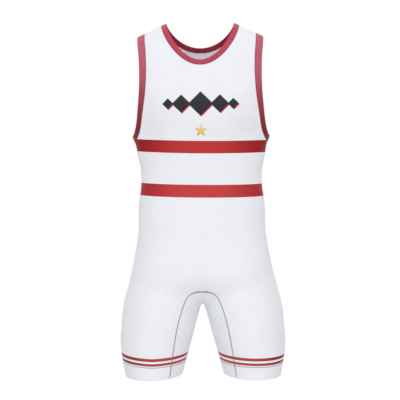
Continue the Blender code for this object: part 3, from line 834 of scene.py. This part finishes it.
def dress(piece, node, finish):
    """Put a piece in the place of its node, with its material."""
    piece.data.materials.clear()
    piece.data.materials.append(finish)
    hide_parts(node)
    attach(piece, "root")


front_cloth = build_panel("front_cloth", -1.0)
back_cloth = build_panel("back_cloth", 1.0)
dress(front_cloth, "front_panel", white_knit)
dress(back_cloth, "back_panel", white_knit)


# Inner-leg panel
# One strip of the same knit runs from one hem up the inside of the leg, over the crotch and down to the
# other hem, so that no seam lies in the crotch. Its edges are sewn flat to the front and back panels.
INNER_LEG_COLUMNS = 36
CROTCH_PIVOT = 0.0550
SWEEP_TURN = 0.35


def inner_leg_rows():
    """Half of the inner-leg panel, on the wearer's left: rows across it from front to back."""
    front, _ = inner_leg_seam(-1.0)
    back, _ = inner_leg_seam(1.0)
    turn_share = np.linspace(0, 1, INNER_LEG_COLUMNS + 1)
    share = turn_share - COLUMN_CROWDING * np.sin(2 * math.pi * turn_share) / (2 * math.pi)
    length = arc_lengths(front)
    ease = smooth_step(length / length[-1] / SWEEP_TURN)
    turn = ease * (0.5 * math.pi + math.atan(HEM_TILT))
    away = np.stack([-np.sin(turn), np.zeros_like(turn), -np.cos(turn)], axis=-1)
    arm = CROTCH_PIVOT + ease * (leg_centre(front[:, 2]) - front[:, 0] - CROTCH_PIVOT)
    pivot = front - arm[:, None] * away
    pivot[:, 1] = 0.0
    first = np.arctan2(front[:, 1], arm)[:, None]
    last = np.arctan2(back[:, 1], arm)[:, None]
    sweep = (first + (last - first) * share)[..., None]
    across = np.array([0.0, 1.0, 0.0])
    rows = cast(pivot[:, None], np.cos(sweep) * away[:, None] + np.sin(sweep) * across)
    rows[:, 0], rows[:, -1] = front, back
    rows[0, :, 0] = 0.0
    return rows


def build_inner_leg_cloth():
    """The whole strip: the wearer's left half and its mirror image."""
    half = inner_leg_rows()
    walls, sinks, above = leg_walls(len(half))
    grid = np.concatenate([half[::-1], mirrored(half[1:])])
    both = [np.concatenate([v[::-1], v[1:]]) for v in (walls, sinks, above)]
    across = lengths_across(grid)
    seams = np.minimum(np.minimum(across, across[:, -1:] - across), 0.3 * both[2] + 0.0004)
    middle = grid.shape[1] // 2
    along = arc_lengths(grid[:, middle])
    off_middle = across - across[:, middle : middle + 1]
    maps = np.stack([off_middle, np.broadcast_to(along[:, None], across.shape)], axis=-1)
    walls, sinks = (np.broadcast_to(v, across.shape) for v in both[:2])
    cloth = Cloth("inner_leg_cloth")
    cloth.add_grid(grid, walls, seams, sinks, maps)
    return cloth.build()


inner_leg_cloth = build_inner_leg_cloth()
dress(inner_leg_cloth, "inner_leg_panel", white_knit)


# Neck binding
# A strip of smooth red knit is folded lengthwise over the raw edge of the neck and stitched through
# both layers, so it has a rounded edge at the opening and a layer inside and outside the cloth.
BINDING_PROUD = 0.0004
BINDING_DEPTH = 0.0016
BINDING_LAYER = 0.00062
BINDING_CROWN = 0.00030
BINDING_LAP = 0.0006
FOLD_RADIUS = 0.5 * (BINDING_PROUD + BINDING_DEPTH)
NECK_RED = (0.400, 0.0430, 0.0730)
NECK_FADE = (-0.050, 0.100)
# the binding's inner layer: a darker red, partly its wrong side and partly painted shade inside the opening
BINDING_RED_WRONG_SIDE_AND_SHADE = (0.310, 0.0180, 0.0360)
# painted shade along the binding's inner edge, where it meets the panel
BINDING_EDGE_PAINTED_SHADE = (0.160, 0.0600, 0.0700)


def folded_profile(width, inset=0.0):
    """Distances into the cloth and heights of a folded strip, from its outside edge to its inside edge."""
    end = width + BINDING_LAP
    leg = np.linspace(end, FOLD_RADIUS, 9)
    arc = np.linspace(0, math.pi, 9)[1:-1]
    crown = BINDING_CROWN * np.sin(math.pi * np.clip((leg - FOLD_RADIUS) / (end - FOLD_RADIUS), 0, 1)) ** 0.7
    top = np.column_stack([leg, BINDING_PROUD + crown - inset])
    radius = FOLD_RADIUS - inset
    middle = BINDING_PROUD - FOLD_RADIUS
    bend = np.column_stack([FOLD_RADIUS - radius * np.sin(arc), middle + radius * np.cos(arc)])
    back = leg[::-1]
    depth = np.full(len(leg), -BINDING_DEPTH + inset)
    low = np.column_stack([back - np.where(back > width, BINDING_LAP, 0), depth])
    return np.concatenate([top, bend, low])


def build_binding(name, loop, steps, widths, flip):
    """Closed ring of folded strip: its profile carried round the opening, at each station's width."""
    width = float(np.max(widths))
    profile = np.concatenate([folded_profile(width), folded_profile(width, BINDING_LAYER)[::-1]])
    share = (np.broadcast_to(widths, len(loop)) / width)[:, None]
    rings = []
    for distance, height in profile:
        base = settle(loop + distance * share * steps) if distance > 1e-6 else loop
        rings.append(base + (height + crease_lift(base))[:, None] * normals(base))
    grid = np.stack(rings, axis=1)
    rows, columns = grid.shape[:2]
    along = arc_lengths(np.concatenate([loop, loop[:1]]))
    around = np.concatenate([[0.0], np.cumsum(np.linalg.norm(np.diff(profile, axis=0), axis=1))])
    around = np.append(around, around[-1] + BINDING_LAYER)
    half = columns // 2
    turning = smooth_step((np.arange(half) - 0.42 * half) / (0.12 * half))
    inside = np.concatenate([turning, np.ones(columns - half)])
    number = np.arange(rows * columns).reshape(rows, columns)
    number = np.concatenate([number, number[:1]])
    number = np.concatenate([number, number[:, :1]], axis=1)
    faces, places = [], []
    for i in range(rows):
        for j in range(columns):
            corners = [(i, j), (i + 1, j), (i + 1, j + 1), (i, j + 1)]
            if not flip:
                corners.reverse()
            faces.append([int(number[c]) for c in corners])
            places += [(around[c[1]], along[c[0]]) for c in corners]
    mesh = bpy.data.meshes.new(name)
    mesh.from_pydata(grid.reshape(-1, 3).tolist(), [], faces)
    edge = np.minimum(np.abs(profile[:, 0] - width), 0.02)
    return finish_cloth(mesh, places, np.tile(edge, rows), np.tile(inside, rows))


def red_binding_finish(name, shaded_red, lit_red, shade_fade):
    """Smooth red knit with a faint rib, from a painted shaded red at the foot of the ring to a paler red, a
    painted sheen, at its top.
    """
    finish = Finish(name)
    mottle = finish.noise(60.0, 3.0)
    fleck = finish.noise(1200.0, 2.0)
    wrong = finish.attribute("wrong_side")
    patch = mottle.above(0.5, 0.5)
    low, high = [finish.mix(patch, red, [1.14 * c for c in red]) for red in (shaded_red, lit_red)]
    # painted shade at the foot of the ring, painted sheen at its top
    red = finish.mix(finish.place()[2].above(*shade_fade), low, high)
    # inner layer darker: partly the strip's wrong side, partly painted shade
    red = finish.mix(wrong, red, BINDING_RED_WRONG_SIDE_AND_SHADE)
    # painted shade along the binding's inner edge
    seam = 1 - finish.attribute("seam_distance").above(0.0009, 0.0014)
    colour = finish.mix(seam * 0.35, red, BINDING_EDGE_PAINTED_SHADE)
    roughness = 0.46 + 0.10 * mottle + 0.20 * wrong
    finish.surface(Base_Color=colour, Roughness=roughness, IOR=1.45, Specular_IOR_Level=0.30)
    finish.surface(Sheen_Weight=0.10, Sheen_Roughness=0.35)
    finish.bump(knit_relief(finish, 0.0007, 0.0006) + fleck * 0.3, 0.00006, 0.8)
    return finish.material


neck_red = red_binding_finish("neck_red_cloth", NECK_RED, NECK_RED, NECK_FADE)
neck_loop, neck_steps = neck_ring()
neck_cloth = build_binding("neck_binding_cloth", neck_loop, neck_steps, NECK_BINDING_WIDTH, flip=False)
dress(neck_cloth, "neck_binding", neck_red)


# Armhole bindings
# The armholes have the same folded strip, a little wider, which starts and ends under the arm. Its red
# is painted deep under the arm as shade and paler over the shoulder as a sheen.
# painted shade under the arm and painted sheen over the shoulder
ARMHOLE_RED_PAINTED_SHADE = (0.190, 0.0080, 0.0120)
ARMHOLE_RED_PAINTED_SHEEN = (0.440, 0.0850, 0.1150)
ARMHOLE_SHADE_FADE = (-0.175, 0.170)

armhole_red = red_binding_finish("armhole_red_cloth", ARMHOLE_RED_PAINTED_SHADE, ARMHOLE_RED_PAINTED_SHEEN, ARMHOLE_SHADE_FADE)
left_loop, left_steps = armhole_ring()
right_loop, right_steps = mirrored(left_loop), mirrored(left_steps)
arm_widths = armhole_widths(left_loop)
armhole_left_cloth = build_binding(
    "armhole_binding_left_cloth", left_loop, left_steps, arm_widths, flip=True
)
armhole_right_cloth = build_binding(
    "armhole_binding_right_cloth", right_loop, right_steps, arm_widths, flip=False
)
dress(armhole_left_cloth, "armhole_binding_left", armhole_red)
dress(armhole_right_cloth, "armhole_binding_right", armhole_red)


# Stitching
# The pieces are joined with flat seams in grey thread that crosses the seam from side to side, the hems
# are held by two close rows of straight stitches, and each binding by one row along its inner edge.
THREAD_RADIUS = 0.00021
FLAT_SEAM = {"half_width": 0.00085, "pitch": 0.00125}
HEM_STITCH = {"length": 0.0024, "pitch": 0.0031, "spread": 0.0016}
BINDING_STITCH = {"length": 0.0022, "pitch": 0.0029, "inset": 0.0012}
THREAD_GREY = (0.130, 0.127, 0.130)
THREAD_LIGHT = (0.240, 0.240, 0.255)


def stitches(name, starts, ends, lift, material):
    """One mesh of short arched threads, from each start to its end, both on the body form."""
    rings, sides = np.array([0.0, 0.2, 0.5, 0.8, 1.0]), 6
    t = rings[None, :, None]
    run = ends - starts
    middle = 0.5 * (starts + ends)
    up = normals(middle)
    along = run / np.linalg.norm(run, axis=1, keepdims=True)
    side = np.cross(along, up)
    side /= np.linalg.norm(side, axis=1, keepdims=True)
    spine = starts[:, None] + t * run[:, None]
    arch = THREAD_RADIUS * (1.3 * np.sin(math.pi * rings) - 0.7)
    spine = spine + (crease_lift(spine) + lift + arch)[..., None] * up[:, None]
    angle = np.linspace(0, 2 * math.pi, sides, endpoint=False)
    round_up = np.cos(angle)[None, None, :, None] * up[:, None, None]
    round_side = np.sin(angle)[None, None, :, None] * side[:, None, None]
    thick = (THREAD_RADIUS * (0.55 + 0.45 * np.sin(math.pi * rings) ** 0.5))[None, :, None, None]
    points = (spine[:, :, None] + thick * (round_up + round_side)).reshape(-1, 3)
    ring_faces = []
    for r in range(len(rings) - 1):
        for s in range(sides):
            n = (s + 1) % sides
            ring_faces.append((r * sides + s, r * sides + n, (r + 1) * sides + n, (r + 1) * sides + s))
    caps = [tuple(range(sides - 1, -1, -1)), tuple((len(rings) - 1) * sides + s for s in range(sides))]
    each = len(rings) * sides
    faces = []
    for k in range(len(starts)):
        faces += [tuple(k * each + c for c in face) for face in ring_faces + caps]
    mesh = bpy.data.meshes.new(name)
    mesh.from_pydata(points.tolist(), [], faces)
    mesh.shade_smooth()
    mesh.materials.append(material)
    thing = bpy.data.objects.new(name, mesh)
    bpy.context.scene.collection.objects.link(thing)
    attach(thing, "root")
    return thing


def spaced(line, pitch, offset=0.0, closed=False):
    """Points at an even pitch along a line on the body form, and the steps to its left."""
    if closed:
        line = np.concatenate([line, line[:1]])
    total = arc_lengths(line)[-1]
    count = max(2, int(round(total / pitch)))
    lengths = np.linspace(0, total, count + 1)
    points = settle(at_lengths(line, lengths))
    run = np.gradient(points, axis=0)
    if closed:
        run[0] = run[-1] = points[1] - points[-2]
    across = np.cross(normals(points), run)
    across /= np.linalg.norm(across, axis=1, keepdims=True)
    return settle(points + offset * across), across


def flat_seam(name, lines, material, lift=0.0):
    """Zigzag of thread over one or more seams."""
    starts, ends = [], []
    for line in lines:
        points, across = spaced(line, FLAT_SEAM["pitch"])
        swing = np.where(np.arange(len(points)) % 2, 1.0, -1.0)[:, None] * FLAT_SEAM["half_width"]
        corners = points + swing * across
        starts.append(corners[:-1])
        ends.append(corners[1:])
    return stitches(name, np.concatenate(starts), np.concatenate(ends), lift, material)


def straight_rows(name, lines, stitch, material, lift=0.0):
    """Rows of straight stitches with short gaps between them."""
    starts, ends = [], []
    for line, offset, closed in lines:
        points, _ = spaced(line, stitch["pitch"], offset, closed)
        share = stitch["length"] / stitch["pitch"]
        starts.append(points[:-1])
        ends.append(points[:-1] + share * (points[1:] - points[:-1]))
    return stitches(name, np.concatenate(starts), np.concatenate(ends), lift, material)


def thread_finish(name, colour):
    """Twisted polyester thread."""
    finish = Finish(name)
    ply = {"wave_type": "BANDS", "bands_direction": "DIAGONAL"}
    twist = finish.node("TexWave", ply, {"Scale": 900.0, "Distortion": 1.5})
    shade = finish.mix(twist, [0.72 * c for c in colour], [1.18 * c for c in colour])
    finish.surface(Base_Color=shade, Roughness=0.52 + 0.12 * twist, Sheen_Weight=0.15, IOR=1.5)
    finish.bump(twist, 0.00005, 0.6)
    return finish.material


grey_thread = thread_finish("grey_thread", THREAD_GREY)
light_thread = thread_finish("light_grey_thread", THREAD_LIGHT)

inner_leg_lines = []
for side in (-1.0, 1.0):
    seam, _ = inner_leg_seam(side)
    inner_leg_lines.append(np.concatenate([seam[::-1], mirrored(seam[1:])]))
inner_leg_stitching = flat_seam("inner_leg_stitching", inner_leg_lines, grey_thread)

side_line = side_stations(settle(left_loop + arm_widths[:, None] * left_steps)[ARMHOLE_ROWS + 1, 2])
side_left_stitching = flat_seam("side_stitching_left", [side_line], grey_thread)
side_right_stitching = flat_seam("side_stitching_right", [mirrored(side_line)], grey_thread)

shoulder_start = NECK_HALF_WIDTH + NECK_BINDING_WIDTH * 0.92
shoulder_end = ARMHOLE_EDGE[0][1] - arm_widths[0] * 0.93
shoulder_x = np.linspace(shoulder_start, shoulder_end, 24)
shoulder_line = np.column_stack([shoulder_x, np.zeros(24), ridge(shoulder_x)])
shoulder_stitching = flat_seam("shoulder_stitching", [shoulder_line, mirrored(shoulder_line)], light_thread)


def hem_ring(above):
    """Line round the wearer's left leg at a height above the hem's edge."""
    turn = np.linspace(0, 2 * math.pi, 181)[:-1]
    middle = leg_centre(HEM_HEIGHT)
    start = np.array([middle, 0.0, HEM_HEIGHT + above])
    tilt = -HEM_TILT
    away = np.stack([np.cos(turn), np.sin(turn), np.cos(turn) * tilt], axis=-1)
    return cast(start, away / np.linalg.norm(away, axis=1, keepdims=True))


hem_lines = [(hem_ring(HEM_STITCH_HEIGHT + step * HEM_STITCH["spread"]), 0.0, True) for step in (-0.5, 0.5)]
hem_left_stitching = straight_rows("hem_stitching_left", hem_lines, HEM_STITCH, light_thread, -0.00012)
mirrored_hems = [(mirrored(line), offset, closed) for line, offset, closed in hem_lines]
for line, _, _ in mirrored_hems:
    line[:, 2] += CLIMB_RISE * np.maximum(-line[:, 0] - CLIMB_START, 0.0)
hem_right_stitching = straight_rows("hem_stitching_right", mirrored_hems, HEM_STITCH, light_thread, -0.00012)

binding_lift = BINDING_PROUD + 0.00010
neck_seam = settle(neck_loop + (NECK_BINDING_WIDTH - BINDING_STITCH["inset"]) * neck_steps)
arm_seam = settle(left_loop + (arm_widths - BINDING_STITCH["inset"])[:, None] * left_steps)
red_thread = thread_finish("red_thread", (0.300, 0.030, 0.045))
neck_stitching, arm_left_stitching, arm_right_stitching = [
    straight_rows(name, [(line, 0.0, True)], BINDING_STITCH, red_thread, binding_lift)
    for name, line in (
        ("neck_stitching", neck_seam),
        ("armhole_stitching_left", arm_seam),
        ("armhole_stitching_right", mirrored(arm_seam)),
    )
]


# Studio
# A plain white floor far below the hems and a plain white surround, whose soft light is strongest from
# the front, the back and above. The floor is only there to be seen, and takes no part in the light.
FLOOR_HEIGHT, FLOOR_REACH = -1.20, 30.0
STUDIO_WHITE = (1.0, 1.0, 1.0)
GLOW_EVEN, GLOW_FRONT, GLOW_BACK, GLOW_ABOVE, GLOW_BELOW = 0.294, 0.890, 0.700, 0.700, 0.230


class Surround(Finish):
    """The node tree of the world."""

    def __init__(self, name):
        self.world = bpy.data.worlds.new(name)
        self.world.use_nodes = True
        self.tree = self.world.node_tree


def white_floor():
    """A wide floor that is as pale as the surround."""
    reach = FLOOR_REACH
    corners = [(-reach, -reach), (reach, -reach), (reach, reach), (-reach, reach)]
    mesh = bpy.data.meshes.new("floor")
    mesh.from_pydata([(x, y, FLOOR_HEIGHT) for x, y in corners], [], [(0, 1, 2, 3)])
    floor = bpy.data.objects.new("floor", mesh)
    bpy.context.scene.collection.objects.link(floor)
    finish = Finish("pale_floor")
    finish.surface(Base_Color=(0.0, 0.0, 0.0), Roughness=1.0, Specular_IOR_Level=0.0)
    finish.surface(Emission_Color=STUDIO_WHITE, Emission_Strength=1.0)
    floor.data.materials.append(finish.material)
    floor.visible_diffuse = floor.visible_glossy = floor.visible_shadow = False


def white_surround():
    """Soft light from all round, and plain white to the eye."""
    surround = Surround("surround")
    x, y, z = surround.parts(surround.node("TexCoord", output="Generated"))
    glow = GLOW_EVEN + (-y).most(0.0) * GLOW_FRONT + y.most(0.0) * GLOW_BACK
    glow = glow + z.most(0.0) * GLOW_ABOVE + (-z).most(0.0) * GLOW_BELOW
    lit = surround.node("Background", None, {"Color": STUDIO_WHITE, "Strength": glow})
    seen = surround.node("Background", None, {"Color": STUDIO_WHITE, "Strength": 1.0})
    to_eye = surround.node("LightPath", output="Is Camera Ray")
    both = surround.node("MixShader", None, {0: to_eye, 1: lit, 2: seen})
    surround.feed(surround.tree.nodes["World Output"].inputs["Surface"], both)
    bpy.context.scene.world = surround.world


white_floor()
white_surround()
bpy.context.scene.view_settings.view_transform = "Standard"

CAMERA_PLACE = (0.0152, -2.300, -0.2866)
CAMERA_PITCH, CAMERA_TURN, CAMERA_ROLL = 0.0574, 0.0084, -0.0091
SENSOR_WIDTH, PICTURE_WIDTH, REACH_IN_PIXELS = 36.0, 400.0, 962.6
camera_data = bpy.data.cameras.new("camera")
camera_data.sensor_width = SENSOR_WIDTH
camera_data.lens = REACH_IN_PIXELS * SENSOR_WIDTH / PICTURE_WIDTH
camera = bpy.data.objects.new("camera", camera_data)
bpy.context.scene.collection.objects.link(camera)
look = Euler((0.5 * math.pi - CAMERA_PITCH, 0.0, CAMERA_TURN)).to_matrix()
look = look @ Matrix.Rotation(CAMERA_ROLL, 3, "Z")
camera.rotation_mode = "QUATERNION"
camera.rotation_quaternion = look.to_quaternion()
camera.location = CAMERA_PLACE
bpy.context.scene.camera = camera
